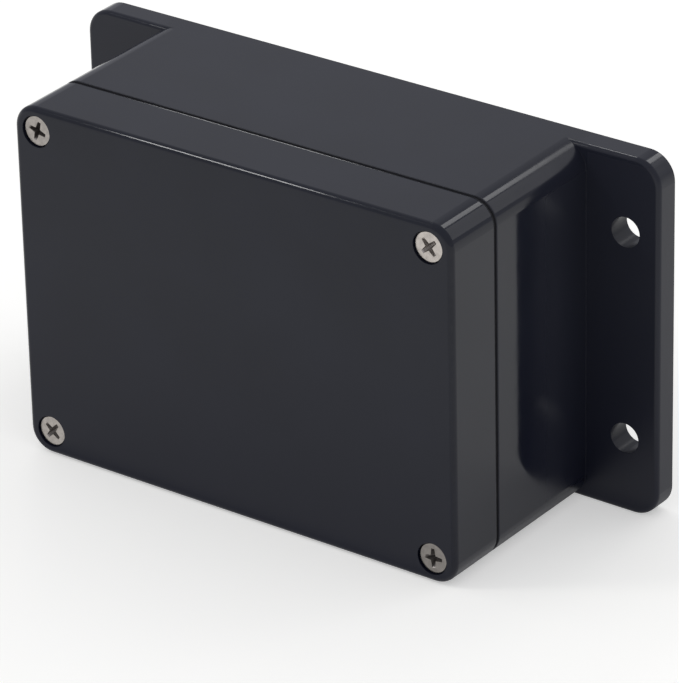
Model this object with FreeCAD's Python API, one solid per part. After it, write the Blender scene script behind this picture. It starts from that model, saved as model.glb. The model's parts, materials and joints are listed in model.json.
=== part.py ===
import FreeCAD, Part
import math
import os

# Wall-mounted housing with a deep screwed lid, in millimetres.
# The origin is the centre of the back mounting face. X runs along the width,
# -Y points to the front and +Z points up.

# Outer form
BODY_WIDTH = 122.8
BODY_HEIGHT = 90.0
BODY_DEPTH = 58.5
LID_DEPTH = 16.2
CORNER_RADIUS = 6.2
FRONT_EDGE_RADIUS = 1.4
DRAFT_DEG = 0.3
WALL = 3.0
BACK_WALL = 3.0
LID_FACE_WALL = 3.0
FLOOR_CHAMFER = 0.6

# Mounting ears, moulded in one with the base
EAR_LENGTH = 19.6
EAR_THICKNESS = 6.3
EAR_CORNER_RADIUS = 6.5
EAR_EDGE_RADIUS = 1.1
EAR_HOLE_RADIUS = 3.75
EAR_HOLE_FROM_TIP = 9.0
EAR_HOLE_SPACING_Z = 52.2
EAR_SKIN = 3.0
EAR_BORDER = 2.5
EAR_RIB = 1.8
EAR_BOSS_WALL = 2.2

# Corner screws that hold the lid, countersunk
SCREW_INSET_X = 6.7
SCREW_INSET_Z = 6.2
SCREW_RADIUS = 2.0
SCREW_REACH = 8.5
HEAD_RADIUS = 3.65
HEAD_SINK = 0.5
HEAD_SEAT_CLEARANCE = 0.05
HEAD_RECESS_RADIUS = 3.95
HEAD_RECESS_DEPTH = 1.0
LID_HOLE_CLEARANCE = 0.25

# Cross recess in each screw head
CROSS_SPAN = 4.8
CROSS_ROOT = 1.3
CROSS_ARM_TAPER = 0.13
CROSS_DEPTH = 2.0
CROSS_FLOOR_SPAN = 1.7
CROSS_FLOOR_ROOT = 0.7

# Corner pillars and the threaded inserts set into them
PILLAR_REACH = 7.0
PILLAR_CHAMFER = 4.0
CHAMBER_CHAMFER = 0.8
INSERT_RADIUS = 2.8
INSERT_LENGTH = 7.0
INSERT_SINK = 0.3
INSERT_FIT = 0.02
THREAD_CLEARANCE = 0.05
TIP_CLEARANCE = 1.5
PILLAR_CORE_HALF = 3.3
PILLAR_CORE_TOP_HALF = 2.9
PILLAR_CORE_ROOF = 6.0

# Joint between base and lid: shadow gap, tongue, groove and seal
SHADOW_GAP = 1.0
SHADOW_DEPTH = 0.6
LIP_CHAMFER = 0.12
GROOVE_FROM_CHAMBER = 0.6
GROOVE_WIDTH = 1.3
GROOVE_DEPTH = 2.2
TONGUE_HEIGHT = 1.0
TONGUE_CLEARANCE = 0.3
SEAL_GAP = 0.05
SEAL_SIDE_CLEARANCE = 0.03

# Posts for a circuit board, on the floor of the base
POST_SPACING_X = 96.0
POST_SPACING_Z = 48.0
POST_HEIGHT = 8.0
POST_RADIUS = 3.1
POST_HOLE_RADIUS = 1.25
POST_HOLE_DEPTH = 7.0
FIN_LENGTH = 2.6
FIN_PEAK = 7.5
FIN_WIDTH = 1.0

# Turn of each screw's cross recess, in degrees, as the screws came to rest
CROSS_TURN = {
    "top_left": 17.0,
    "top_right": 48.0,
    "bottom_left": 40.0,
    "bottom_right": -2.0,
}

PARTING_Y = LID_DEPTH - BODY_DEPTH
FRONT_Y = -BODY_DEPTH
DRAFT = math.tan(math.radians(DRAFT_DEG))
OVERLAP = 1.0
CHAMFER_SHRINK = 2 - math.sqrt(2)
FORWARD = FreeCAD.Vector(0, -1, 0)
DEPTH_AXIS = FreeCAD.Vector(0, 1, 0)
CORNER_SIGNS = {
    "top_left": (-1, 1),
    "top_right": (1, 1),
    "bottom_left": (-1, -1),
    "bottom_right": (1, -1),
}


def point(x, y, z):
    return FreeCAD.Vector(x, y, z)


def taper(y):
    """How far the outer faces have drawn in, at a distance in front of the back."""
    return -y * DRAFT


def outline(corners, y):
    """Closed wire in a plane of constant y, through corners given as x, z, radius."""
    starts, ends, middles = [], [], []
    count = len(corners)
    for index, (x, z, radius) in enumerate(corners):
        corner = point(x, y, z)
        before = point(corners[index - 1][0], y, corners[index - 1][1])
        after = point(corners[(index + 1) % count][0], y, corners[(index + 1) % count][1])
        into = (before - corner).normalize()
        out = (after - corner).normalize()
        half_angle = into.getAngle(out) / 2
        reach = radius / math.tan(half_angle)
        bisector = (into + out).normalize()
        centre = corner + bisector * (radius / math.sin(half_angle))
        starts.append(corner + into * reach)
        ends.append(corner + out * reach)
        middles.append(centre - bisector * radius)
    edges = []
    for index in range(count):
        edges.append(Part.Arc(starts[index], middles[index], ends[index]).toShape())
        edges.append(Part.makeLine(ends[index], starts[(index + 1) % count]))
    return Part.Wire(edges)


def rectangle(half_x, half_z, radius, y):
    """Rounded rectangle about the origin, in a plane of constant y."""
    signs = ((1, 1), (-1, 1), (-1, -1), (1, -1))
    return outline([(sx * half_x, sz * half_z, radius) for sx, sz in signs], y)


def body_outline(y, inwards=0.0):
    """Outline of the tapered body at y, drawn in by a further amount."""
    inset = taper(y) + inwards
    return rectangle(BODY_WIDTH / 2 - inset, BODY_HEIGHT / 2 - inset, CORNER_RADIUS - inset, y)


def screw_centre(signs):
    """Axis of one corner screw, as x and z."""
    return (signs[0] * (BODY_WIDTH / 2 - SCREW_INSET_X), signs[1] * (BODY_HEIGHT / 2 - SCREW_INSET_Z))


def chamber_outline(y, grow):
    """Corners of the inner space, which steps round the four corner pillars."""
    half_x = BODY_WIDTH / 2 - taper(PARTING_Y) - WALL + grow
    half_z = BODY_HEIGHT / 2 - taper(PARTING_Y) - WALL + grow
    axis_x, axis_z = screw_centre((1, 1))
    pillar_x = axis_x - PILLAR_REACH + grow
    pillar_z = axis_z - PILLAR_REACH + grow
    wall_cut = CHAMBER_CHAMFER + grow * CHAMFER_SHRINK
    pillar_cut = PILLAR_CHAMFER - grow * CHAMFER_SHRINK
    quarter = [
        (half_x, pillar_z - wall_cut),
        (half_x - wall_cut, pillar_z),
        (pillar_x + pillar_cut, pillar_z),
        (pillar_x, pillar_z + pillar_cut),
        (pillar_x, half_z - wall_cut),
        (pillar_x - wall_cut, half_z),
    ]
    corners = list(quarter)
    corners += [(-x, z) for x, z in reversed(quarter)]
    corners += [(-x, -z) for x, z in quarter]
    corners += [(x, -z) for x, z in reversed(quarter)]
    return [point(x, y, z) for x, z in corners]


def loft(*wires):
    return Part.makeLoft(list(wires), True, True)


def polygon(points):
    return Part.Face(Part.makePolygon(points + [points[0]]))


def stack(*rings):
    """Solid with flat sides through rings of matching corners."""
    faces = [polygon(rings[0]), polygon(rings[-1])]
    for low, high in zip(rings, rings[1:]):
        for index in range(len(low)):
            faces.append(polygon([low[index - 1], low[index], high[index], high[index - 1]]))
    solid = Part.Solid(Part.Shell(faces))
    if solid.Volume < 0:
        solid.reverse()
    return solid


def prism(wire, length):
    """Solid that runs forward from a wire by a length."""
    return Part.Face(wire).extrude(FORWARD * length)


def edges_at(shape, y):
    """Edges that lie wholly in the plane of constant y."""
    chosen = []
    for edge in shape.Edges:
        middle = edge.valueAt((edge.FirstParameter + edge.LastParameter) / 2)
        points = [vertex.Point for vertex in edge.Vertexes] + [middle]
        if all(abs(p.y - y) < 1e-4 for p in points):
            chosen.append(edge)
    return chosen


def turned(profile, x, z):
    """Solid of revolution about the axis at x, z, from pairs of radius and y."""
    face = polygon([point(x + radius, y, z) for radius, y in profile])
    return face.revolve(point(x, 0, z), DEPTH_AXIS, 360)


def cylinder(radius, x, z, back_y, front_y):
    return Part.makeCylinder(radius, back_y - front_y, point(x, back_y, z), FORWARD)


def chamber(closed_y, open_y):
    """Space inside one half, narrower at its closed end, with a chamfered floor."""
    depth = abs(open_y - closed_y)
    wall_end = closed_y + math.copysign(FLOOR_CHAMFER, open_y - closed_y)
    return stack(
        chamber_outline(open_y, 0.0),
        chamber_outline(wall_end, -(depth - FLOOR_CHAMFER) * DRAFT),
        chamber_outline(closed_y, -depth * DRAFT - FLOOR_CHAMFER),
    )


def seal_ring(inner, outer, back_y, length):
    """Closed ring that follows the chamber between two distances outside it."""
    ring = polygon(chamber_outline(back_y, outer)).cut(polygon(chamber_outline(back_y, inner)))
    return ring.extrude(FORWARD * length)


def ear_hole_centres():
    x = BODY_WIDTH / 2 + EAR_LENGTH - EAR_HOLE_FROM_TIP
    z = EAR_HOLE_SPACING_Z / 2
    return [(sx * x, sz * z) for sx in (-1, 1) for sz in (-1, 1)]


def ear_hole(x, z):
    """Through hole for a wall screw."""
    return cylinder(EAR_HOLE_RADIUS, x, z, OVERLAP, -EAR_THICKNESS - OVERLAP)


def ear_plate():
    """Back plate that reaches past both sides of the body, with a soft front edge."""
    half_x = BODY_WIDTH / 2 + EAR_LENGTH
    half_z = BODY_HEIGHT / 2
    front = -EAR_THICKNESS
    inset = taper(front)
    plate = loft(
        rectangle(half_x, half_z, EAR_CORNER_RADIUS, 0.0),
        rectangle(half_x - inset, half_z - inset, EAR_CORNER_RADIUS - inset, front),
    )
    return plate.makeFillet(EAR_EDGE_RADIUS, edges_at(plate, front))


def ear_coring(side):
    """Hollow in the back of one ear, which leaves a skin, a border, ribs and two bosses."""
    depth = EAR_THICKNESS - EAR_SKIN
    inner = BODY_WIDTH / 2
    outer = BODY_WIDTH / 2 + EAR_LENGTH - EAR_BORDER
    half_z = BODY_HEIGHT / 2 - EAR_BORDER
    radius = EAR_CORNER_RADIUS - EAR_BORDER
    corners = [
        (side * inner, -half_z, EAR_RIB),
        (side * outer, -half_z, radius),
        (side * outer, half_z, radius),
        (side * inner, half_z, EAR_RIB),
    ]
    hollow = prism(outline(corners, 0.0), depth)
    kept = []
    for x, z in ear_hole_centres():
        if x * side > 0:
            kept.append(cylinder(EAR_HOLE_RADIUS + EAR_BOSS_WALL, x, z, 0.0, -depth))
            kept.append(ear_rib(side, z, depth))
    kept.append(ear_rib(side, 0.0, depth))
    return hollow.cut(kept)


def ear_rib(side, z, depth):
    """Rib across the hollow of one ear at height z."""
    start = min(side * BODY_WIDTH / 2, side * (BODY_WIDTH / 2 + EAR_LENGTH))
    return Part.makeBox(EAR_LENGTH, depth, EAR_RIB, point(start, -depth, z - EAR_RIB / 2))


def board_post(x, z):
    """Post with four gusset fins, standing on the floor of the base."""
    floor = -BACK_WALL + OVERLAP
    post = cylinder(POST_RADIUS, x, z, floor, -BACK_WALL - POST_HEIGHT)
    reach = POST_RADIUS + FIN_LENGTH
    fins = polygon([
        point(x - reach, floor, z - FIN_WIDTH / 2),
        point(x + reach, floor, z - FIN_WIDTH / 2),
        point(x + reach, -BACK_WALL, z - FIN_WIDTH / 2),
        point(x, -BACK_WALL - FIN_PEAK, z - FIN_WIDTH / 2),
        point(x - reach, -BACK_WALL, z - FIN_WIDTH / 2),
    ]).extrude(point(0, 0, FIN_WIDTH))
    crossed = fins.copy()
    crossed.rotate(point(x, 0, z), DEPTH_AXIS, 90)
    return post.fuse([fins, crossed])


def post_centres():
    half_x, half_z = POST_SPACING_X / 2, POST_SPACING_Z / 2
    return [(sx * half_x, sz * half_z) for sx in (-1, 1) for sz in (-1, 1)]


def post_hole(x, z):
    """Pilot hole for a board screw, open at the top of a post."""
    top = -BACK_WALL - POST_HEIGHT
    return cylinder(POST_HOLE_RADIUS, x, z, top + POST_HOLE_DEPTH, top - OVERLAP)


def screw_tip_y():
    return PARTING_Y + SCREW_REACH


def insert_back_y():
    return PARTING_Y + INSERT_SINK + INSERT_LENGTH


def square(x, z, half, y):
    """Corners of a square about x, z in a plane of constant y."""
    return [point(x + sx * half, y, z + sz * half) for sx, sz in ((1, 1), (-1, 1), (-1, -1), (1, -1))]


def pillar_holes(x, z):
    """Blind bore for the threaded insert and the screw tip, and the tapered core behind it."""
    end_y = max(screw_tip_y(), insert_back_y()) + TIP_CLEARANCE
    seat = cylinder(INSERT_RADIUS + INSERT_FIT, x, z, end_y, PARTING_Y - OVERLAP)
    core = stack(
        square(x, z, PILLAR_CORE_HALF, OVERLAP),
        square(x, z, PILLAR_CORE_TOP_HALF, end_y + PILLAR_CORE_ROOF),
    )
    return [seat, core]


def tongue():
    """Ridge on the rim of the base that presses into the seal."""
    inner = GROOVE_FROM_CHAMBER + TONGUE_CLEARANCE
    outer = GROOVE_FROM_CHAMBER + GROOVE_WIDTH - TONGUE_CLEARANCE
    return seal_ring(inner, outer, PARTING_Y + OVERLAP, TONGUE_HEIGHT + OVERLAP)


def base_body():
    """Tapered block of the base, stepped in at its front so a dark line shows below the lid."""
    lip_y = PARTING_Y + SHADOW_GAP
    body = loft(body_outline(0.0), body_outline(lip_y + LIP_CHAMFER), body_outline(lip_y, LIP_CHAMFER))
    neck = loft(body_outline(lip_y + OVERLAP, SHADOW_DEPTH), body_outline(PARTING_Y, SHADOW_DEPTH))
    return body.fuse([neck, ear_plate()])


def make_base():
    """Base moulding: tapered box open at the front, with ears, pillars and board posts."""
    shell = base_body().cut(chamber(-BACK_WALL, PARTING_Y))
    shell = shell.fuse([tongue()] + [board_post(x, z) for x, z in post_centres()])
    removed = [ear_coring(-1), ear_coring(1)]
    removed += [ear_hole(x, z) for x, z in ear_hole_centres()]
    removed += [post_hole(x, z) for x, z in post_centres()]
    for signs in CORNER_SIGNS.values():
        removed += pillar_holes(*screw_centre(signs))
    return shell.cut(removed).removeSplitter()


def lid_screw_hole(x, z):
    """Round recess with a countersunk seat for a screw head, and the clearance hole below it."""
    hole = SCREW_RADIUS + LID_HOLE_CLEARANCE
    cone = HEAD_SINK + HEAD_RADIUS + HEAD_SEAT_CLEARANCE
    profile = [
        (0, PARTING_Y + OVERLAP),
        (hole, PARTING_Y + OVERLAP),
        (hole, FRONT_Y + cone - hole),
        (cone - HEAD_RECESS_DEPTH, FRONT_Y + HEAD_RECESS_DEPTH),
        (HEAD_RECESS_RADIUS, FRONT_Y + HEAD_RECESS_DEPTH),
        (HEAD_RECESS_RADIUS, FRONT_Y - OVERLAP),
        (0, FRONT_Y - OVERLAP),
    ]
    return turned(profile, x, z)


def make_lid():
    """Deep lid with four screw columns, a seal groove and countersunk screw recesses."""
    block = loft(
        body_outline(PARTING_Y, LIP_CHAMFER), body_outline(PARTING_Y - LIP_CHAMFER), body_outline(FRONT_Y)
    )
    block = block.makeFillet(FRONT_EDGE_RADIUS, edges_at(block, FRONT_Y))
    outer = GROOVE_FROM_CHAMBER + GROOVE_WIDTH
    removed = [
        chamber(FRONT_Y + LID_FACE_WALL, PARTING_Y),
        seal_ring(GROOVE_FROM_CHAMBER, outer, PARTING_Y, GROOVE_DEPTH),
    ]
    removed += [lid_screw_hole(*screw_centre(signs)) for signs in CORNER_SIGNS.values()]
    return block.cut(removed).removeSplitter()


def make_gasket():
    """Seal that fills the bottom of the groove."""
    back = PARTING_Y - TONGUE_HEIGHT - SEAL_GAP
    inner = GROOVE_FROM_CHAMBER + SEAL_SIDE_CLEARANCE
    outer = GROOVE_FROM_CHAMBER + GROOVE_WIDTH - SEAL_SIDE_CLEARANCE
    return seal_ring(inner, outer, back, back - (PARTING_Y - GROOVE_DEPTH))


def cross_outline(span, root, y):
    """Corners of a cross about the origin, in a plane of constant y; its arms narrow from root to tip."""
    far, wide = span / 2, root / 2
    narrow = wide - CROSS_ARM_TAPER * (far - wide)
    arm = [(far, narrow), (wide, wide), (narrow, far)]
    corners = arm + [(-x, z) for x, z in reversed(arm)]
    corners += [(-x, -z) for x, z in corners]
    return [point(x, y, z) for x, z in corners]


def make_screw(signs, turn):
    """Countersunk machine screw with a cross recess; its thread is left plain."""
    x, z = screw_centre(signs)
    top = FRONT_Y + HEAD_SINK
    tip = screw_tip_y()
    profile = [
        (0, top),
        (HEAD_RADIUS, top),
        (SCREW_RADIUS, top + HEAD_RADIUS - SCREW_RADIUS),
        (SCREW_RADIUS, tip),
        (0, tip),
    ]
    recess = stack(
        cross_outline(CROSS_SPAN, CROSS_ROOT, top - OVERLAP),
        cross_outline(CROSS_SPAN, CROSS_ROOT, top),
        cross_outline(CROSS_FLOOR_SPAN, CROSS_FLOOR_ROOT, top + CROSS_DEPTH),
    )
    recess.rotate(point(0, 0, 0), DEPTH_AXIS, turn)
    recess.translate(point(x, 0, z))
    return turned(profile, x, z).cut(recess)


def make_insert(signs):
    """Threaded insert: a plain bush whose bore is the thread's outer diameter."""
    x, z = screw_centre(signs)
    front = PARTING_Y + INSERT_SINK
    back = insert_back_y()
    bush = cylinder(INSERT_RADIUS, x, z, back, front)
    return bush.cut(cylinder(SCREW_RADIUS + THREAD_CLEARANCE, x, z, back, front))


def save(name, shape):
    """Write one piece, after a check that it is a single sound solid."""
    solid = shape.Solids[0]
    if len(shape.Solids) != 1 or not solid.isValid():
        raise ValueError(name + " isn't one valid solid")
    solid.exportStep("parts/" + name + ".step")
    print(name, round(solid.Volume, 1), "mm3")


def main():
    os.makedirs("parts", exist_ok=True)
    save("base", make_base())
    save("lid", make_lid())
    save("gasket", make_gasket())
    for corner, signs in CORNER_SIGNS.items():
        save("lid_screw_" + corner, make_screw(signs, CROSS_TURN[corner]))
        save("threaded_insert_" + corner, make_insert(signs))


main()
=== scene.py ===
import json
import math

import bmesh
import bpy
from mathutils import Matrix, Vector


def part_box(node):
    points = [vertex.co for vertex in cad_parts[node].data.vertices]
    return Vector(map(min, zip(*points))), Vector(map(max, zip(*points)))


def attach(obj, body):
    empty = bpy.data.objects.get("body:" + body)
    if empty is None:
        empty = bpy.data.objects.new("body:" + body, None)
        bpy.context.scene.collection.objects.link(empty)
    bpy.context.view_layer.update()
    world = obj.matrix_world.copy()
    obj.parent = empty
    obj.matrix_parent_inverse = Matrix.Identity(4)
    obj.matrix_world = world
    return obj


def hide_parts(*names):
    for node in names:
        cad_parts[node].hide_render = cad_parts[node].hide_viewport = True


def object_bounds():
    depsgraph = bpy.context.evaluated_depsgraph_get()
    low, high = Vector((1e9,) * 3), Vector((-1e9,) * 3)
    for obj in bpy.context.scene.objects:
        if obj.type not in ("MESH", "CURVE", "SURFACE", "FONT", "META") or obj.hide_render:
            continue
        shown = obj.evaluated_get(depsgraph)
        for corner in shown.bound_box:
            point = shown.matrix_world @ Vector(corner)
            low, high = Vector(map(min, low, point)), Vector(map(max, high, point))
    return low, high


bl_info = {
    "name": "Wall box dressing",
    "version": (1, 0, 0),
    "blender": (4, 5, 0),
    "location": "View3D > Sidebar > Wall box",
    "description": "Finishes, fasteners and studio for a screwed plastic box with mounting ears",
    "category": "Object",
}

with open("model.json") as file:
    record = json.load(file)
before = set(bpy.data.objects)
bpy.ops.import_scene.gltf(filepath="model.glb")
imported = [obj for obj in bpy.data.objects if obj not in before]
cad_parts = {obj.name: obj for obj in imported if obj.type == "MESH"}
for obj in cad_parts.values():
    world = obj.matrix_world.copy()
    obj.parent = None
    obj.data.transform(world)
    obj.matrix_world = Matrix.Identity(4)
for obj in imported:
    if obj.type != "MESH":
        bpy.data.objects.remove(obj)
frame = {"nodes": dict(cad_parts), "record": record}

MM = 0.001
CORNERS = ("top_left", "top_right", "bottom_left", "bottom_right")
CAD_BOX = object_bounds()
LID_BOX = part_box("lid")
FRONT_Y = LID_BOX[0].y
PARTING_Y = LID_BOX[1].y
FLOOR_Z = CAD_BOX[0].z


# Node trees

class Signal:
    """A node's output that takes part in plain sums."""

    def __init__(self, wires, socket):
        self.wires = wires
        self.socket = socket

    def sum_of(self, operation, first, second=None, clamp=False):
        inputs = {0: first} if second is None else {0: first, 1: second}
        settings = {"operation": operation, "use_clamp": clamp}
        return self.wires.add("ShaderNodeMath", settings, inputs)

    def __add__(self, other):
        return self.sum_of("ADD", self, other)

    def __radd__(self, other):
        return self.sum_of("ADD", other, self)

    def __sub__(self, other):
        return self.sum_of("SUBTRACT", self, other)

    def __rsub__(self, other):
        return self.sum_of("SUBTRACT", other, self)

    def __mul__(self, other):
        return self.sum_of("MULTIPLY", self, other)

    def __rmul__(self, other):
        return self.sum_of("MULTIPLY", other, self)

    def __truediv__(self, other):
        return self.sum_of("DIVIDE", self, other)

    def __mod__(self, other):
        return self.sum_of("MODULO", self, other)

    def __abs__(self):
        return self.sum_of("ABSOLUTE", self)

    def floor(self):
        return self.sum_of("FLOOR", self)

    def fraction(self):
        return self.sum_of("FRACT", self)

    def cosine(self):
        return self.sum_of("COSINE", self)

    def sine(self):
        return self.sum_of("SINE", self)

    def root(self):
        return self.sum_of("SQRT", self)

    def least(self, other):
        return self.sum_of("MINIMUM", self, other)

    def most(self, other):
        return self.sum_of("MAXIMUM", self, other)

    def between(self, low, high):
        """0 below low, 1 above high and a straight run between them."""
        return self.sum_of("MULTIPLY", self - low, 1 / (high - low), clamp=True)


class Wires:
    """A node tree and the one way in which nodes are added to it."""

    def __init__(self, tree):
        self.tree = tree
        self.tree.nodes.clear()

    def add(self, kind, settings=None, inputs=None, output=0):
        """Add a node and give one of its outputs, or the node itself where it has none."""
        node = self.tree.nodes.new(kind)
        for key, value in (settings or {}).items():
            setattr(node, key, value)
        for key, value in (inputs or {}).items():
            self.feed(node.inputs[key], value)
        return Signal(self, node.outputs[output]) if len(node.outputs) else node

    def feed(self, socket, value):
        if isinstance(value, Signal):
            self.tree.links.new(value.socket, socket)
        else:
            socket.default_value = value

    def other(self, signal, name):
        """Another output of the node that a signal comes from."""
        return Signal(self, signal.socket.node.outputs[name])

    def blend(self, factor, low, high):
        """Colour between two colours."""
        inputs = {0: factor, 6: low, 7: high}
        return self.add("ShaderNodeMix", {"data_type": "RGBA"}, inputs, output=2)

    def noise(self, place, scale, detail=2.0, roughness=0.5):
        """Noise with scale cycles to each unit of place."""
        inputs = {"Vector": place, "Scale": scale, "Detail": detail, "Roughness": roughness}
        return self.add("ShaderNodeTexNoise", {"noise_dimensions": "3D"}, inputs)


class Finish(Wires):
    """Material whose patterns read Object coordinates, in millimetres."""

    def __init__(self, name):
        self.material = bpy.data.materials.new(name)
        self.material.use_nodes = True
        super().__init__(self.material.node_tree)
        coordinates = self.add("ShaderNodeTexCoord", output="Object")
        self.place = self.scaled(coordinates, (1 / MM, 1 / MM, 1 / MM))
        self.x, self.y, self.z = self.split(self.place)

    def scaled(self, place, factors):
        """Coordinates stretched by a factor along each axis."""
        inputs = {0: place, 1: factors}
        return self.add("ShaderNodeVectorMath", {"operation": "MULTIPLY"}, inputs)

    def split(self, place):
        """The x, y and z of a place."""
        x = self.add("ShaderNodeSeparateXYZ", inputs={0: place})
        return x, self.other(x, "Y"), self.other(x, "Z")

    def bump(self, height, distance, below=None):
        """Surface relief: height from 0 to 1 stands for distance in metres."""
        inputs = {"Height": height, "Distance": distance, "Strength": 1.0}
        if below is not None:
            inputs["Normal"] = below
        return self.add("ShaderNodeBump", {}, inputs)

    def surface(self, **inputs):
        """Close the tree with one Principled shader. Underscores stand for spaces."""
        named = {key.replace("_", " "): value for key, value in inputs.items()}
        shader = self.add("ShaderNodeBsdfPrincipled", {}, named)
        self.add("ShaderNodeOutputMaterial", {}, {"Surface": shader})
        return self.material


# Sizes and colours that a user would change

def length(name, description, value, low=0.0, high=1.0):
    """Length property in metres."""
    return bpy.props.FloatProperty(
        name=name, description=description, default=value, min=low, max=high,
        unit="LENGTH", subtype="DISTANCE", precision=5,
    )


def share(name, description, value, high=1.0):
    """Property for a share or a strength."""
    return bpy.props.FloatProperty(
        name=name, description=description, default=value, min=0.0, max=high,
    )


def colour(name, description, value):
    """Colour property."""
    return bpy.props.FloatVectorProperty(
        name=name, description=description, default=value, size=3, min=0.0, max=1.0,
        subtype="COLOR",
    )


def turn(name, description, degrees):
    """Angle property, given in degrees."""
    return bpy.props.FloatProperty(
        name=name, description=description, default=math.radians(degrees),
        unit="ROTATION", subtype="ANGLE",
    )


def count(name, description, value, low, high):
    """Whole number property."""
    return bpy.props.IntProperty(
        name=name, description=description, default=value, min=low, max=high,
    )


class MouldingSettings(bpy.types.PropertyGroup):
    shade: colour(
        "Colour", "Colour of the moulded plastic", (0.0115, 0.0132, 0.0215))
    worn_shade: colour(
        "Edge colour", "Colour where edges are rubbed", (0.030, 0.032, 0.038))
    # Painted shade: the colour that the mouldings are painted darker to toward their foot
    painted_foot_shade: colour(
        "Foot colour", "Colour that the mouldings darken to at their foot", (0.002, 0.0032, 0.0130))
    # Painted light: the ears are painted paler to lift the shade on them; the same colour lifts the
    # side walls next to the ears
    painted_ear_light: colour(
        "Ear colour", "Colour of the ears, paler from handling", (0.0170, 0.0185, 0.0280))
    # Painted light: the colour that the joint is painted paler to, lifting the shade inside it
    painted_joint_light: colour(
        "Gap colour", "Colour of the dust in the joint", (0.040, 0.040, 0.043))
    front_roughness: share("Front roughness", "Roughness of the lid's front face", 0.34)
    side_roughness: share("Side roughness", "Roughness of the polished side walls", 0.07)
    deep_roughness: share(
        "Deep roughness", "Roughness of the side walls near the back plate", 0.38)
    ear_roughness: share("Ear roughness", "Roughness of the mounting ears", 0.34)
    gap_width: length("Gap width", "Width of the dark joint between base and lid", 0.001)
    specular: share("Specular level", "Strength of the plastic's reflection", 0.25)
    edge_radius: length("Edge radius", "Radius seen on every sharp moulded edge", 0.00016)
    grain_size: length("Grain size", "Width of the spark-eroded grain", 0.00016)
    grain_height: length("Grain height", "Height of the grain", 0.0000006)


class SealSettings(bpy.types.PropertyGroup):
    shade: colour("Colour", "Colour of the seal", (0.045, 0.046, 0.048))
    roughness: share("Roughness", "Roughness of the seal", 0.62)
    edge_radius: length("Edge radius", "Radius on the seal's edges", 0.00025)


class ScrewSettings(bpy.types.PropertyGroup):
    shade: colour("Colour", "Colour of the screws' steel", (0.39, 0.362, 0.338))
    # Painted shade: the colour that the cross recess is painted darker to
    recess_painted_shade: colour(
        "Grime colour", "Colour of the dirt in the cross recess", (0.055, 0.043, 0.038))
    roughness: share("Roughness", "Roughness of the screws", 0.30)
    pitch: length("Pitch", "Pitch of the thread", 0.0007)
    thread_depth: length("Thread depth", "Depth of the thread", 0.00043)
    segments: count("Segments", "Steps round a screw", 48, 16, 96)
    cross_span: length("Cross span", "Width across the cross recess", 0.0048)
    cross_root: length("Cross root", "Width of each arm of the cross where they meet", 0.0013)
    cross_tip: length("Cross tip", "Width of each arm of the cross at its end", 0.00082)
    cross_depth: length("Cross depth", "Depth of the cross recess", 0.0020)


class InsertSettings(bpy.types.PropertyGroup):
    shade: colour("Colour", "Colour of the inserts' brass", (0.62, 0.43, 0.17))
    roughness: share("Roughness", "Roughness of the inserts", 0.28)
    knurls: count("Knurls", "Ridges round an insert", 32, 8, 64)
    knurl_depth: length("Knurl depth", "Depth between two ridges", 0.00016)


class StageSettings(bpy.types.PropertyGroup):
    azimuth: turn("Azimuth", "Camera's angle round the object", 36.6)
    elevation: turn("Elevation", "Camera's angle above the horizon", 27.019)
    roll: turn("Roll", "Camera's turn about its own axis", -1.338)
    distance: length("Distance", "From the camera to its target", 1.20832, high=10.0)
    focal_length: bpy.props.FloatProperty(
        name="Focal length", description="Lens of the camera in millimetres",
        default=276.377, min=10.0,
    )
    target: bpy.props.FloatVectorProperty(
        name="Target", description="Point that the camera is aimed at",
        default=(0.00818, -0.028707, -0.009875), size=3, unit="LENGTH", subtype="TRANSLATION",
    )
    floor_shade: colour("Floor colour", "Colour of the pale floor", (0.915, 0.905, 0.842))
    floor_lift: share("Floor lift", "Brightness added to the floor that is seen", 0.39)
    sky_shade: colour("Sky colour", "Colour of the studio's walls", (0.92, 0.93, 1.0))
    sky_level: share("Sky level", "Brightness of the studio's walls", 0.645, high=5.0)
    key_level: share("Key level", "Brightness of the front softbox", 20.0, high=100.0)
    rim_level: share("Rim level", "Brightness of the rear softbox", 3.3, high=100.0)
    side_level: share(
        "Side level", "Brightness of the long softbox behind the right side", 0.88, high=100.0)
    ear_level: share(
        "Ear level", "Brightness of the strip that draws the ear's edge", 8.0, high=100.0)


# Meshes

MERGE_DISTANCE = 1e-6
SEAM_DISTANCE = 1e-7
SEAL_SHARP = 60
SEAL_SMOOTH = 50
TURNED_SMOOTH = 34


def show(mesh, name):
    """Put a mesh in the scene as an object."""
    item = bpy.data.objects.new(name, mesh)
    bpy.context.scene.collection.objects.link(item)
    return item


def finished(item):
    """Bake an object's modifiers into a plain mesh and take them off."""
    graph = bpy.context.evaluated_depsgraph_get()
    mesh = bpy.data.meshes.new_from_object(item.evaluated_get(graph))
    item.modifiers.clear()
    old = item.data
    item.data = mesh
    bpy.data.meshes.remove(old)
    mesh.name = item.name
    return item


def tidy_mesh(mesh, merge):
    """Close seams and face outwards."""
    work = bmesh.new()
    work.from_mesh(mesh)
    bmesh.ops.remove_doubles(work, verts=work.verts, dist=merge)
    bmesh.ops.recalc_face_normals(work, faces=work.faces)
    work.to_mesh(mesh)
    work.free()


def smooth(mesh, degrees):
    """Shade smooth, but for edges sharper than an angle."""
    mesh.polygons.foreach_set("use_smooth", [True] * len(mesh.polygons))
    mesh.set_sharp_from_angle(angle=math.radians(degrees))


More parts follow.
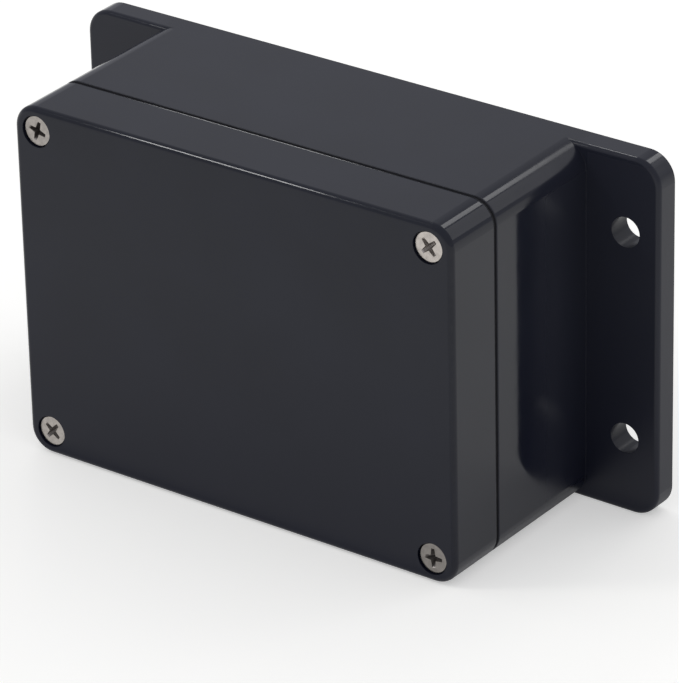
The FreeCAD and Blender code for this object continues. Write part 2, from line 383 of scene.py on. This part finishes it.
def softened(node, name, radius, material):
    """Copy of a CAD node with a radius on its square edges."""
    mesh = frame["nodes"][node].data.copy()
    mesh.name = name
    item = show(mesh, name)
    mesh.attributes.remove(mesh.attributes["custom_normal"])
    tidy_mesh(mesh, MERGE_DISTANCE)
    bevel = item.modifiers.new("Edge", "BEVEL")
    bevel.width = radius
    bevel.segments = 4
    bevel.limit_method = "ANGLE"
    bevel.angle_limit = math.radians(SEAL_SHARP)
    finished(item)
    smooth(item.data, SEAL_SMOOTH)
    only_material(item, material)
    return item


def only_material(item, material):
    """Give an object one material and no other."""
    item.data.materials.clear()
    item.data.materials.append(material)


def stand_in(item, node):
    """Put a finished piece in the place of a CAD node."""
    bodies = frame["record"]["behaviour"]["bodies"]
    body = next(name for name, nodes in bodies.items() if node in nodes)
    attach(item, body)
    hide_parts(node)


# Finishes

# Runs on the mouldings in millimetres, each from where a change starts to where it is full
FACE_RUN = (0.01, 0.14)             # behind the lid's front face
WORN_RUN = (0.15, 1.1)              # in from an edge
EAR_RUN = (0.4, 0.8)                # out from the lid's side
EAR_TOP_RUN = (0.8, 1.6)            # in from the ears' glossy top and bottom
# Painted light: along this run the side walls near the ears are painted paler, where they mirror
# the dark ears
PAINTED_WALL_LIGHT_RUN = (-29.0, -24.0)           # along the depth, on the side walls
PAINTED_WALL_LIGHT_SKIN = (1.5, 3.0)              # in from the side walls
FLAT_RUN = (5.0, 6.6)               # in from the top and bottom, past the rounded edges
FLAT_MATT_RUN = (-31.0, -18.0)      # along the depth, on the flat walls
ROUNDED_MATT_RUN = (-42.0, -12.0)   # along the depth, on the rounded edges
FOOT_RUN = (2.0, 6.0)               # up from the lid's lower side
GAP_START = (-0.06, 0.02)           # behind the joint's front
GAP_END = (-0.02, 0.06)             # behind the joint's back
# Painted light: in from the outside, the joint is painted paler over these runs
JOINT_LIFT_START = (0.08, 0.2)            # in from the outside
JOINT_LIFT_END = (2.0, 2.6)
LIP_START = (-0.05, 0.0)            # behind the joint's back
LIP_END = (0.2, 0.5)
FLASH_START = (-0.32, -0.04)        # behind the joint's front
FLASH_TOP = (-0.8, -0.4)            # above the lid's top
FLASH_FADE = 0.1                    # inside both sides of the joint
# Painted shade: below this height the mouldings are painted darker toward their foot
PAINTED_SHADE_TOP = 12.0                     # height above the middle where the mouldings turn darker

# Shares and strengths of the mouldings' finish
RUB_SHARE = 0.55
PAINTED_WALL_LIGHT_SHARE = 0.8
PAINTED_SHADE_SHARE = 0.65
ROUNDED_MATT = 0.55
EAR_TOP_POLISH = 0.22
FOOT_DULL = 0.7
LIP_DULL = 0.45
DULL_ROUGHNESS = 0.7
SMEAR_ROUGHNESS = 0.03
SPECK_ROUGHNESS = 0.05
RUB_POLISH = 0.05
SIDE_GRAIN = 0.2
WAVE_HEIGHT = 0.0035 * MM
FLASH_HEIGHT = 0.28 * MM


class MouldingPlaces:
    """Where on the mouldings a point lies, each as a share from 0 to 1."""

    def __init__(self, m, gap_width):
        high_x, high_z = LID_BOX[1].x / MM, LID_BOX[1].z / MM
        from_side, from_top = high_x - abs(m.x), high_z - abs(m.z)
        from_front = m.y - FRONT_Y / MM
        nearest = from_side.least(from_top)
        second = nearest.most(from_front.least(from_side.most(from_top)))
        self.front = 1 - from_front.between(*FACE_RUN)
        self.edge = 1 - second.between(*WORN_RUN)
        # Painted shade: share of the darker colour painted on toward the foot
        self.low = 1 - m.z.between(-high_z, PAINTED_SHADE_TOP)
        self.foot = 1 - (m.z + high_z).between(*FOOT_RUN)
        self.ear = (abs(m.x) - high_x).between(*EAR_RUN)
        self.ear_top = 1 - from_top.between(*EAR_TOP_RUN)
        # Painted light: side walls near the ears are painted paler, where they mirror the dark ears
        self.painted_wall_light = m.y.between(*PAINTED_WALL_LIGHT_RUN) * (1 - from_side.between(*PAINTED_WALL_LIGHT_SKIN))
        flat = from_top.between(*FLAT_RUN)
        rounded = m.y.between(*ROUNDED_MATT_RUN) * (1 - flat) * ROUNDED_MATT
        self.deep = (m.y.between(*FLAT_MATT_RUN) * flat).most(rounded)
        from_joint = m.y - PARTING_Y / MM
        past_joint = from_joint - gap_width
        in_joint = from_joint.between(*GAP_START) * (1 - past_joint.between(*GAP_END))
        # Painted light: share in from the outside over which the joint is painted paler to lift its
        # shade
        joint_lift = nearest.between(*JOINT_LIFT_START) * (1 - nearest.between(*JOINT_LIFT_END))
        self.gap = in_joint * joint_lift
        self.lip = past_joint.between(*LIP_START) * (1 - past_joint.between(*LIP_END))
        on_base = from_joint.between(FLASH_FADE, gap_width - FLASH_FADE)
        raised = from_joint.between(*FLASH_START) * (1 - on_base)
        self.flash = raised * (m.z - high_z).between(*FLASH_TOP)


def moulding_finish(settings):
    """Black moulded plastic: satin front and ears, polished sides, fine grain, rubbed edges."""
    m = Finish("moulded_plastic")
    at = MouldingPlaces(m, settings.gap_width / MM)
    cloud = m.noise(m.place, scale=0.045, detail=3.0).between(0.3, 0.7)
    patch = m.noise(m.place, scale=0.6, detail=4.0, roughness=0.6).between(0.42, 0.72)
    speck = m.noise(m.place, scale=9.0)
    streak = m.scaled(m.place, (0.02, 0.3, 0.14))
    smear = m.noise(streak, scale=1.0, detail=3.0).between(0.35, 0.75)
    grain = m.noise(m.place, scale=MM / settings.grain_size, roughness=0.6)
    wave = m.noise(m.place, scale=0.22, detail=1.0)
    rub = at.edge * patch
    base = m.blend(cloud, shade_of(settings.shade, 0.9), shade_of(settings.shade, 1.12))
    layers = (
        (rub * RUB_SHARE, settings.worn_shade),
        # Painted light on the ears and on the side walls near them
        (at.ear.most(at.painted_wall_light * PAINTED_WALL_LIGHT_SHARE), settings.painted_ear_light),
        # Painted shade toward the foot
        (at.low * PAINTED_SHADE_SHARE, settings.painted_foot_shade),
        # Painted light: paler colour in the joint, lifting its shade
        (at.gap, settings.painted_joint_light),
    )
    for amount, shade in layers:
        base = m.blend(amount, base, shade_of(shade))
    polished, deep = settings.side_roughness, settings.deep_roughness
    side = polished + (deep - polished) * at.deep
    sheen = side + (settings.front_roughness - side) * at.front
    ear_matt = settings.ear_roughness - at.ear_top * EAR_TOP_POLISH
    matt = sheen + (ear_matt - sheen) * at.ear
    dull = at.gap.most(at.foot * FOOT_DULL).most(at.lip * LIP_DULL)
    uneven = (smear - 0.5) * SMEAR_ROUGHNESS + (speck - 0.5) * SPECK_ROUGHNESS - rub * RUB_POLISH
    rough = matt + (DULL_ROUGHNESS - matt) * dull + uneven
    edge = m.add("ShaderNodeBevel", {"samples": 4}, {"Radius": settings.edge_radius})
    coarse = m.bump(wave, WAVE_HEIGHT, m.bump(at.flash, FLASH_HEIGHT, edge))
    fine = grain * (SIDE_GRAIN + (1 - SIDE_GRAIN) * at.front)
    return m.surface(
        Base_Color=base, Roughness=rough, Normal=m.bump(fine, settings.grain_height, coarse),
        Specular_IOR_Level=settings.specular,
    )


def shade_of(value, factor=1.0):
    """Colour with its alpha, scaled by a factor."""
    return (value[0] * factor, value[1] * factor, value[2] * factor, 1.0)


def seal_finish(settings):
    """Dull silicone with a faint bloom."""
    m = Finish("silicone_seal")
    bloom = m.noise(m.place, scale=0.35, detail=4.0, roughness=0.6).between(0.35, 0.75)
    speck = m.noise(m.place, scale=6.0)
    base = m.blend(bloom, shade_of(settings.shade, 0.85), shade_of(settings.shade, 1.35))
    rough = settings.roughness + bloom * 0.12 + (speck - 0.5) * 0.08
    normal = m.bump(speck, 0.006 * MM)
    return m.surface(Base_Color=base, Roughness=rough, Normal=normal, Specular_IOR_Level=0.4)


def by_corner(m, values):
    """Value that differs from one corner screw to the next, from where it lies."""
    right, upper = m.x.between(-1.0, 1.0), m.z.between(-1.0, 1.0)
    low = right * (values["bottom_right"] - values["bottom_left"]) + values["bottom_left"]
    high = right * (values["top_right"] - values["top_left"]) + values["top_left"]
    return low + (high - low) * upper


# Runs on a screw in millimetres
SUNK_RUN = (0.04, 0.4)              # below the head's flat face
RIM_RUN = (3.05, 3.45)              # out from the screw's axis
RINGS_ACROSS = 14.0
RINGS_ALONG = 2.0


def screw_finish(settings):
    """Turned stainless steel: rings on the head, a polished rim and dull recess walls."""
    m = Finish("turned_steel")
    axis_x, axis_z = SCREW_AXES["top_right"]
    across = abs(m.x) - abs(axis_x) / MM
    upward = abs(m.z) - abs(axis_z) / MM
    radius = (across * across + upward * upward).root()
    depth = m.y - SCREW_TOP / MM
    ring_inputs = {0: radius * RINGS_ACROSS, 1: depth * RINGS_ALONG, 2: 0.0}
    ring_place = m.add("ShaderNodeCombineXYZ", {}, ring_inputs)
    rings = m.noise(ring_place, scale=1.0, detail=3.0, roughness=0.65)
    stain = m.noise(m.place, scale=0.9, detail=4.0, roughness=0.6).between(0.4, 0.75)
    speck = m.noise(m.place, scale=14.0)
    sunk = depth.between(*SUNK_RUN)
    rim = radius.between(*RIM_RUN)
    warm = m.blend(stain, shade_of(settings.shade, 1.08), shade_of(settings.shade, 0.82))
    # Painted light: each screw's steel is painted brighter or darker, standing in for the
    # reflections it catches
    painted_light_inputs = {0: warm, "Scale": by_corner(m, SCREW_PAINTED_LIGHT)}
    painted_lit = m.add("ShaderNodeVectorMath", {"operation": "SCALE"}, painted_light_inputs)
    # Painted shade: the cross recess is painted darker, by a share that differs from screw to screw
    recess_shade = sunk * by_corner(m, SCREW_RECESS_SHADE)
    base = m.blend(recess_shade, painted_lit, shade_of(settings.recess_painted_shade))
    uneven = (rings - 0.5) * 0.16 + stain * 0.08
    rough = settings.roughness + uneven + sunk * 0.35 - rim * 0.08
    relief = m.bump(rings, 0.0045 * MM, m.bump(speck, 0.002 * MM))
    return m.surface(Base_Color=base, Roughness=rough, Normal=relief, Metallic=1.0)


def insert_finish(settings):
    """Machined brass with tarnish in its hollows."""
    m = Finish("machined_brass")
    tarnish = m.noise(m.place, scale=1.1, detail=4.0, roughness=0.6).between(0.38, 0.72)
    lines = m.noise(m.scaled(m.place, (0.6, 22.0, 0.6)), scale=1.0)
    base = m.blend(tarnish, shade_of(settings.shade, 1.08), shade_of(settings.shade, 0.7))
    rough = settings.roughness + tarnish * 0.14 + (lines - 0.5) * 0.1
    relief = m.bump(lines, 0.003 * MM)
    return m.surface(Base_Color=base, Roughness=rough, Normal=relief, Metallic=1.0)


# Turned pieces

def screw_axis(corner):
    """Axis of one screw, as x and z, from the middle of its CAD node."""
    low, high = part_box("lid_screw_" + corner)
    return (low.x + high.x) / 2, (low.z + high.z) / 2


SCREW_AXES = {corner: screw_axis(corner) for corner in CORNERS}
SCREW_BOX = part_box("lid_screw_top_left")
SCREW_TOP = SCREW_BOX[0].y
SCREW_TIP = SCREW_BOX[1].y
HEAD_RADIUS = (SCREW_BOX[1].x - SCREW_BOX[0].x) / 2
SHANK_RADIUS = 2.0 * MM
BORE_CLEARANCE = 0.05 * MM

# What differs from one screw to the next: painted light on the steel, painted shade in the cross
# and the cross's turn
SCREW_PAINTED_LIGHT = {"top_left": 0.89, "top_right": 1.25, "bottom_left": 1.05, "bottom_right": 0.64}
SCREW_RECESS_SHADE = {"top_left": 0.8, "top_right": 0.28, "bottom_left": 0.4, "bottom_right": 0.36}
CROSS_TURN = {"top_left": 17.0, "top_right": 48.0, "bottom_left": 40.0, "bottom_right": -2.0}

# Sections of the cross recess: share of its depth, of its span and of its arms' width
CROSS_LEVELS = ((0.0, 1.0, 1.0), (0.8, 0.44, 0.66), (1.0, 0.12, 0.26))
CROSS_LEAD = 0.4 * MM
CROSS_LEAD_SPAN = 1.14
CROSS_LEAD_WIDTH = 1.05

THREAD_ROWS = 8                     # rows of points to each pitch
THREAD_FLANK = (0.14, 0.86)         # share of half a pitch over which a groove deepens
PHASE_OFFSET = 1000.0               # keeps the thread's phase above 0
INSERT_SEGMENTS = 96


def turned_tree():
    """Tree that spins a profile about an axis, with a thread and knurls where it says."""
    tree = bpy.data.node_groups.new("turned_piece", "GeometryNodeTree")
    sockets = (
        ("Profile", "NodeSocketGeometry"), ("Segments", "NodeSocketInt"),
        ("Axis X", "NodeSocketFloat"), ("Axis Z", "NodeSocketFloat"),
        ("Pitch", "NodeSocketFloat"), ("Thread depth", "NodeSocketFloat"),
        ("Knurls", "NodeSocketInt"), ("Knurl depth", "NodeSocketFloat"),
        ("Merge", "NodeSocketFloat"), ("Finish", "NodeSocketMaterial"),
    )
    for name, kind in sockets:
        tree.interface.new_socket(name, in_out="INPUT", socket_type=kind)
    tree.interface.new_socket("Geometry", in_out="OUTPUT", socket_type="NodeSocketGeometry")
    g = Wires(tree)
    profile = g.add("NodeGroupInput", output="Profile")
    given = {name: g.other(profile, name) for name, kind in sockets}
    rows = g.add(
        "GeometryNodeAttributeDomainSize", {"component": "MESH"}, {0: profile}, "Point Count",
    )
    grid_inputs = {"Vertices X": given["Segments"] + 1, "Vertices Y": rows}
    grid = g.add("GeometryNodeMeshGrid", {}, grid_inputs)
    index = g.add("GeometryNodeInputIndex")
    row = index % rows
    angle = (index / rows).floor() / given["Segments"] * math.tau

    def sampled(kind, value):
        inputs = {"Geometry": profile, "Value": value, "Index": row}
        return g.add("GeometryNodeSampleIndex", {"data_type": kind, "domain": "POINT"}, inputs)

    def attribute(name):
        field = g.add("GeometryNodeInputNamedAttribute", {"data_type": "FLOAT"}, {"Name": name})
        return sampled("FLOAT", field)

    point = sampled("FLOAT_VECTOR", g.add("GeometryNodeInputPosition"))
    radius = g.add("ShaderNodeSeparateXYZ", {}, {0: point})
    along = g.other(radius, "Y")
    phase = (along / given["Pitch"] + angle / math.tau + PHASE_OFFSET).fraction()
    flank = (1 - abs(phase * 2 - 1)).between(*THREAD_FLANK)
    ridge = (angle * given["Knurls"]).cosine() * 0.5 + 0.5
    groove = attribute("thread") * given["Thread depth"] * flank
    hollow = attribute("knurl") * given["Knurl depth"] * ridge
    reach = radius - (groove + hollow)
    spot_inputs = {
        0: given["Axis X"] + reach * angle.cosine(),
        1: along,
        2: given["Axis Z"] + reach * angle.sine(),
    }
    spot = g.add("ShaderNodeCombineXYZ", {}, spot_inputs)
    shaped = g.add("GeometryNodeSetPosition", {}, {"Geometry": grid, "Position": spot})
    merge_inputs = {"Geometry": shaped, "Distance": given["Merge"]}
    merged = g.add("GeometryNodeMergeByDistance", {}, merge_inputs)
    real = g.add("GeometryNodeRealizeInstances", {}, {"Geometry": merged})
    finish_inputs = {"Geometry": real, "Material": given["Finish"]}
    done = g.add("GeometryNodeSetMaterial", {}, finish_inputs)
    g.add("NodeGroupOutput", {}, {"Geometry": done})
    return tree


def plain_run(points):
    """Points of a profile without thread or knurls, from pairs of radius and place."""
    return [(radius, along, 0.0, 0.0) for radius, along in points]


def turned(name, profile, tree, inputs):
    """Piece spun from (radius, along, thread, knurl) points, as a plain closed mesh."""
    mesh = bpy.data.meshes.new(name)
    mesh.from_pydata([(radius, along, 0.0) for radius, along, thread, knurl in profile], [], [])
    for column, label in ((2, "thread"), (3, "knurl")):
        layer = mesh.attributes.new(label, "FLOAT", "POINT")
        layer.data.foreach_set("value", [float(point[column]) for point in profile])
    item = show(mesh, name)
    modifier = item.modifiers.new("Turned", "NODES")
    modifier.node_group = tree
    for socket in tree.interface.items_tree:
        if socket.in_out == "INPUT" and socket.name in inputs:
            modifier[socket.identifier] = inputs[socket.name]
    finished(item)
    tidy_mesh(item.data, SEAM_DISTANCE)
    smooth(item.data, TURNED_SMOOTH)
    return item


def threaded_run(radius, start, end, pitch):
    """Points along a threaded cylinder, with one pitch of run-out at each end."""
    rows = max(2, round((end - start) / pitch * THREAD_ROWS))
    points = []
    for row in range(rows + 1):
        along = start + (end - start) * row / rows
        fade = min(1.0, (along - start) / pitch, (end - along) / pitch)
        points.append((radius, along, max(0.0, fade), 0.0))
    return points


def cross_cutter(settings, corner):
    """Tapered cross that is taken out of one screw head."""
    x, z = SCREW_AXES[corner]
    levels = [(SCREW_TOP - CROSS_LEAD, CROSS_LEAD_SPAN, CROSS_LEAD_WIDTH)]
    levels += [
        (SCREW_TOP + settings.cross_depth * down, reach, width)
        for down, reach, width in CROSS_LEVELS
    ]
    work = bmesh.new()
    rings = []
    angle = Matrix.Rotation(math.radians(CROSS_TURN[corner]), 2)
    for along, reach, width in levels:
        far = settings.cross_span / 2 * reach
        root = settings.cross_root / 2 * width
        tip = settings.cross_tip / 2 * width
        arm = [(far, tip), (root, root), (tip, far)]
        half = arm + [(-a, b) for a, b in reversed(arm)]
        ring = []
        for a, b in half + [(-a, -b) for a, b in half]:
            place = angle @ Vector((a, b))
            ring.append(work.verts.new((x + place.x, along, z - place.y)))
        rings.append(ring)
    for low, high in zip(rings, rings[1:]):
        for index in range(len(low)):
            work.faces.new((low[index - 1], low[index], high[index], high[index - 1]))
    work.faces.new(rings[0])
    work.faces.new(list(reversed(rings[-1])))
    bmesh.ops.recalc_face_normals(work, faces=work.faces)
    mesh = bpy.data.meshes.new("cross_" + corner)
    work.to_mesh(mesh)
    work.free()
    return show(mesh, "cross_" + corner)


def make_one_screw(corner, settings, tree, material):
    """Countersunk screw in place of its CAD node."""
    rim, top = HEAD_RADIUS, SCREW_TOP
    neck = top + rim - SHANK_RADIUS
    end = SCREW_TIP - 0.45 * MM
    # Flat face, rounded rim, cone and neck
    head = (
        (0.0, top), (rim * 0.35, top), (rim * 0.8, top), (rim - 0.14 * MM, top),
        (rim - 0.06 * MM, top + 0.015 * MM), (rim - 0.045 * MM, top + 0.045 * MM),
        (rim - 0.5 * MM, top + 0.5 * MM), (SHANK_RADIUS + 0.05 * MM, neck - 0.05 * MM),
    )
    shank = threaded_run(SHANK_RADIUS, neck + 0.1 * MM, end, settings.pitch)
    tip = ((SHANK_RADIUS - settings.thread_depth, SCREW_TIP - 0.02 * MM), (0.0, SCREW_TIP))
    profile = plain_run(head) + shank + plain_run(tip)
    x, z = SCREW_AXES[corner]
    inputs = {
        "Segments": settings.segments, "Axis X": x, "Axis Z": z, "Pitch": settings.pitch,
        "Thread depth": settings.thread_depth, "Knurls": 0, "Knurl depth": 0.0,
        "Merge": MERGE_DISTANCE, "Finish": material,
    }
    item = turned("steel_screw_" + corner, profile, tree, inputs)
    cutter = cross_cutter(settings, corner)
    cut = item.modifiers.new("Cross", "BOOLEAN")
    cut.operation = "DIFFERENCE"
    cut.solver = "EXACT"
    cut.object = cutter
    finished(item)
    bpy.data.objects.remove(cutter)
    smooth(item.data, TURNED_SMOOTH)
    only_material(item, material)
    stand_in(item, "lid_screw_" + corner)


def make_one_insert(corner, settings, screws, tree, material):
    """Knurled insert with two knurled bands, a waist and a threaded bore."""
    low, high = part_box("threaded_insert_" + corner)
    front, back = low.y, high.y
    middle = (front + back) / 2
    outer = (high.x - low.x) / 2
    bore = SHANK_RADIUS + BORE_CLEARANCE
    chamfer, lead, half_waist, shoulder = 0.25 * MM, 0.3 * MM, 0.6 * MM, 0.02 * MM
    waist = outer - 0.35 * MM
    outside = plain_run(((bore + lead, front), (outer - chamfer, front), (outer, front + chamfer)))
    bands = ((front + chamfer, middle - half_waist), (middle + half_waist, back - chamfer))
    for start, end in bands:
        outside += [(outer, start + shoulder, 0, 1), (outer, end - shoulder, 0, 1)]
        if end < middle:
            outside += plain_run(((waist, end), (waist, middle + half_waist)))
    outside += plain_run(((outer, back - chamfer), (outer - chamfer, back), (bore + lead, back)))
    inside = threaded_run(bore, front + lead, back - lead, screws.pitch)
    profile = outside + inside[::-1] + outside[:1]
    x, z = SCREW_AXES[corner]
    inputs = {
        "Segments": INSERT_SEGMENTS, "Axis X": x, "Axis Z": z, "Pitch": screws.pitch,
        "Thread depth": -0.55 * screws.thread_depth, "Knurls": settings.knurls,
        "Knurl depth": settings.knurl_depth, "Merge": MERGE_DISTANCE, "Finish": material,
    }
    item = turned("brass_insert_" + corner, profile, tree, inputs)
    only_material(item, material)
    stand_in(item, "threaded_insert_" + corner)


# Stage

# Name, direction from the object, distance, width, height and the way that the width runs
LAMPS = (
    ("key", (-0.54, -0.45, 0.71), 1.3, 0.095, 0.26, (1.0, 0.0, 0.0)),
    ("rim", (0.06, 0.74, 0.668), 1.5, 0.34, 0.24, (1.0, 0.0, 0.0)),
    ("side", (0.486, 0.738, 0.468), 1.5, 0.99, 0.3, (0.606, 0.0, -0.795)),
    ("ear", (-0.436, 0.46, 0.773), 1.312, 0.05, 0.3, (1.0, 0.0, 0.0)),
)
FLOOR_REACH = 6.0
SENSOR_WIDTH = 36.0
NEAR_CLIP, FAR_CLIP = 0.01, 50.0


def aim(camera, settings):
    """Place the camera round its target, rolled about its own axis."""
    azimuth, elevation, roll = settings.azimuth, settings.elevation, settings.roll
    back = Vector((
        math.sin(azimuth) * math.cos(elevation),
        -math.cos(azimuth) * math.cos(elevation),
        math.sin(elevation),
    ))
    right = (-back).cross(Vector((0, 0, 1))).normalized()
    up = right.cross(-back)
    turned_right = right * math.cos(roll) + up * math.sin(roll)
    turned_up = up * math.cos(roll) - right * math.sin(roll)
    axes = Matrix((turned_right, turned_up, back)).transposed()
    place = Vector(settings.target) + back * settings.distance
    camera.matrix_world = Matrix.Translation(place) @ axes.to_4x4()


def softbox(name, direction, distance, width, height, along, level):
    """Flat lamp that faces the object; level is its face's brightness."""
    lamp = bpy.data.lights.new(name, "AREA")
    lamp.shape = "RECTANGLE"
    lamp.size = width
    lamp.size_y = height
    lamp.energy = level * math.pi * width * height
    item = bpy.data.objects.new(name, lamp)
    bpy.context.scene.collection.objects.link(item)
    out = Vector(direction).normalized()
    across = (Vector(along) - out * out.dot(Vector(along))).normalized()
    axes = Matrix((across, out.cross(across), out)).transposed()
    centre = (CAD_BOX[0] + CAD_BOX[1]) / 2
    item.matrix_world = Matrix.Translation(centre + out * distance) @ axes.to_4x4()


def seen_directly(wires):
    """1 for camera, glossy and transmission rays, 0 for the light that falls on things."""
    camera = wires.add("ShaderNodeLightPath", output="Is Camera Ray")
    glossy = wires.other(camera, "Is Glossy Ray")
    through = wires.other(camera, "Is Transmission Ray")
    return camera.most(glossy).most(through)


def floor_finish(settings):
    """Matt pale paper that keeps shadows and shows white."""
    m = Finish("paper_floor")
    seen = seen_directly(m)
    fibre = m.noise(m.place, scale=0.5, detail=3.0)
    shade = m.blend(fibre, shade_of(settings.floor_shade, 0.985), shade_of(settings.floor_shade))
    matt = m.add("ShaderNodeBsdfDiffuse", {}, {"Color": shade})
    glow = {"Color": (1.0, 1.0, 1.0, 1.0), "Strength": seen * settings.floor_lift}
    lift = m.add("ShaderNodeEmission", {}, glow)
    both = m.add("ShaderNodeAddShader", {}, {0: matt, 1: lift})
    m.add("ShaderNodeOutputMaterial", {}, {"Surface": both})
    return m.material


def set_world(settings):
    """Plain world that lights the object evenly."""
    world = bpy.data.worlds.new("studio")
    world.use_nodes = True
    w = Wires(world.node_tree)
    inputs = {"Color": shade_of(settings.sky_shade), "Strength": settings.sky_level}
    light = w.add("ShaderNodeBackground", {}, inputs)
    w.add("ShaderNodeOutputWorld", {}, {"Surface": light})
    bpy.context.scene.world = world


def make_floor(settings):
    """Wide flat floor under the object."""
    work = bmesh.new()
    corners = ((-1, -1), (1, -1), (1, 1), (-1, 1))
    work.faces.new([
        work.verts.new((x * FLOOR_REACH, y * FLOOR_REACH, FLOOR_Z)) for x, y in corners
    ])
    mesh = bpy.data.meshes.new("paper_floor")
    work.to_mesh(mesh)
    work.free()
    floor = show(mesh, "paper_floor")
    mesh.materials.append(floor_finish(settings))


# Operators

class BOX_OT_stage(bpy.types.Operator):
    """Make the floor, studio light and camera"""
    bl_idname = "wall_box.stage"
    bl_label = "Stage"

    def execute(self, context):
        settings = context.scene.box_stage
        make_floor(settings)
        set_world(settings)
        for name, direction, distance, width, height, along in LAMPS:
            level = getattr(settings, name + "_level")
            softbox(name + "_softbox", direction, distance, width, height, along, level)
        camera = bpy.data.objects.new("camera", bpy.data.cameras.new("camera"))
        context.scene.collection.objects.link(camera)
        camera.data.sensor_width = SENSOR_WIDTH
        camera.data.lens = settings.focal_length
        camera.data.clip_start, camera.data.clip_end = NEAR_CLIP, FAR_CLIP
        aim(camera, settings)
        context.scene.camera = camera
        context.scene.view_settings.view_transform = "Standard"
        return {"FINISHED"}


class BOX_OT_mouldings(bpy.types.Operator):
    """Give the base and lid mouldings their plastic finish"""
    bl_idname = "wall_box.mouldings"
    bl_label = "Mouldings"

    def execute(self, context):
        settings = context.scene.box_moulding
        material = moulding_finish(settings)
        for node in ("base", "lid"):
            mesh = frame["nodes"][node].data
            mesh.materials.clear()
            mesh.materials.append(material)
        return {"FINISHED"}


class BOX_OT_seal(bpy.types.Operator):
    """Make the silicone seal in the lid's groove"""
    bl_idname = "wall_box.seal"
    bl_label = "Seal"

    def execute(self, context):
        settings = context.scene.box_seal
        item = softened("gasket", "silicone_seal", settings.edge_radius, seal_finish(settings))
        stand_in(item, "gasket")
        return {"FINISHED"}


class BOX_OT_screws(bpy.types.Operator):
    """Make the four countersunk screws with their threads and cross recesses"""
    bl_idname = "wall_box.screws"
    bl_label = "Lid screws"

    def execute(self, context):
        settings = context.scene.box_screw
        material = screw_finish(settings)
        tree = turned_tree()
        for corner in CORNERS:
            make_one_screw(corner, settings, tree, material)
        return {"FINISHED"}


class BOX_OT_inserts(bpy.types.Operator):
    """Make the four knurled brass inserts"""
    bl_idname = "wall_box.inserts"
    bl_label = "Threaded inserts"

    def execute(self, context):
        settings = context.scene.box_insert
        material = insert_finish(settings)
        tree = turned_tree()
        for corner in CORNERS:
            make_one_insert(corner, settings, context.scene.box_screw, tree, material)
        return {"FINISHED"}


STEPS = (BOX_OT_stage, BOX_OT_mouldings, BOX_OT_seal, BOX_OT_screws, BOX_OT_inserts)
GROUPS = {
    "box_stage": StageSettings,
    "box_moulding": MouldingSettings,
    "box_seal": SealSettings,
    "box_screw": ScrewSettings,
    "box_insert": InsertSettings,
}


class BOX_PT_panel(bpy.types.Panel):
    """Settings and steps of the wall box"""
    bl_idname = "BOX_PT_panel"
    bl_label = "Wall box"
    bl_space_type = "VIEW_3D"
    bl_region_type = "UI"
    bl_category = "Wall box"

    def draw(self, context):
        layout = self.layout
        for step, (name, group) in zip(STEPS, GROUPS.items()):
            section = layout.box()
            for key in group.__annotations__:
                section.prop(getattr(context.scene, name), key)
            section.operator(step.bl_idname)


def register():
    for group in GROUPS.values():
        bpy.utils.register_class(group)
    for step in STEPS:
        bpy.utils.register_class(step)
    bpy.utils.register_class(BOX_PT_panel)
    for name, group in GROUPS.items():
        setattr(bpy.types.Scene, name, bpy.props.PointerProperty(type=group))


def unregister():
    for name in GROUPS:
        delattr(bpy.types.Scene, name)
    bpy.utils.unregister_class(BOX_PT_panel)
    for step in reversed(STEPS):
        bpy.utils.unregister_class(step)
    for group in reversed(list(GROUPS.values())):
        bpy.utils.unregister_class(group)


def main():
    register()
    bpy.ops.wall_box.stage()
    bpy.ops.wall_box.mouldings()
    bpy.ops.wall_box.seal()
    bpy.ops.wall_box.screws()
    bpy.ops.wall_box.inserts()


if __name__ == "__main__":
    main()
